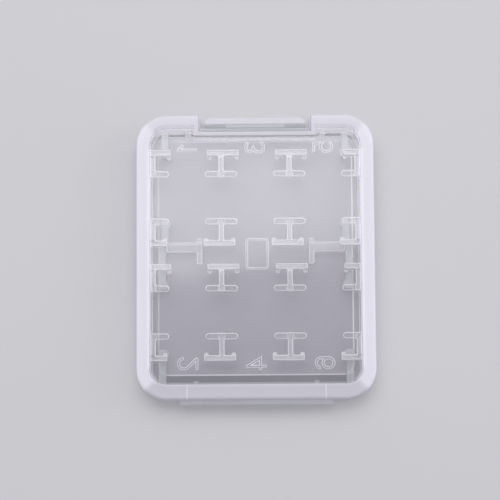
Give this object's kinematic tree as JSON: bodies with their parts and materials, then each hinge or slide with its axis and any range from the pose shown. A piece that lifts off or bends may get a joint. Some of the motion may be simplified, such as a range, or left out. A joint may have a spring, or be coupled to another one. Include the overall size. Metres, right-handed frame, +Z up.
{
  "type": "memory card case",
  "caption": "Flat translucent clamshell case for memory cards, with a card tray in the base, micro card clips in the lid, a film hinge and a snap latch.",
  "frame": {"origin": "under the middle of the closed case's outline, fold of the hinge included, at the face that it rests on", "axes": "+X to the right across the case, +Y from the hinge towards the latch, +Z up out of the lid"},
  "size_m": [0.043, 0.0524, 0.007],
  "materials": {
    "clear_plastic": "translucent satin polypropylene"
  },
  "bodies": {
    "base": {"base_shell": "clear_plastic", "hinge_leaf_base": "clear_plastic", "side_lip_left": "clear_plastic", "side_lip_right": "clear_plastic", "divider_left": "clear_plastic", "divider_right": "clear_plastic", "full_rail_near_left": "clear_plastic", "full_rail_near_right": "clear_plastic", "full_rail_mid_left": "clear_plastic", "full_rail_mid_right": "clear_plastic", "stick_rail_mid_left": "clear_plastic", "stick_rail_mid_right": "clear_plastic", "stick_rail_far_left": "clear_plastic", "stick_rail_far_right": "clear_plastic", "near_tab_left": "clear_plastic", "near_tab_right": "clear_plastic", "far_tab_left": "clear_plastic", "far_tab_right": "clear_plastic"},
    "lid": {"lid_shell": "clear_plastic", "catch_ledge": "clear_plastic", "hinge_leaf_lid": "clear_plastic", "card_clip_a1": "clear_plastic", "card_clip_a2": "clear_plastic", "card_clip_a3": "clear_plastic", "card_clip_a4": "clear_plastic", "card_clip_b1": "clear_plastic", "card_clip_b2": "clear_plastic", "card_clip_b3": "clear_plastic", "card_clip_b4": "clear_plastic", "card_clip_c1": "clear_plastic", "card_clip_c2": "clear_plastic", "card_clip_c3": "clear_plastic", "card_clip_c4": "clear_plastic", "card_clip_d1": "clear_plastic", "card_clip_d2": "clear_plastic", "card_clip_d3": "clear_plastic", "card_clip_d4": "clear_plastic"},
    "latch": {"latch_tongue": "clear_plastic"}
  },
  "joints": [
    {"name": "lid_hinge", "type": "hinge", "parent": "base", "child": "lid", "pos_m": [0, -0.0259, 0.0035], "axis": [1, 0, 0], "range_deg": [0, 180]},
    {"name": "latch_flex", "type": "hinge", "parent": "base", "child": "latch", "pos_m": [0, 0.0257, 0.0009], "axis": [-1, 0, 0], "range_deg": [0, 8], "stiffness_Nm_per_rad": 0.5}
  ]
}
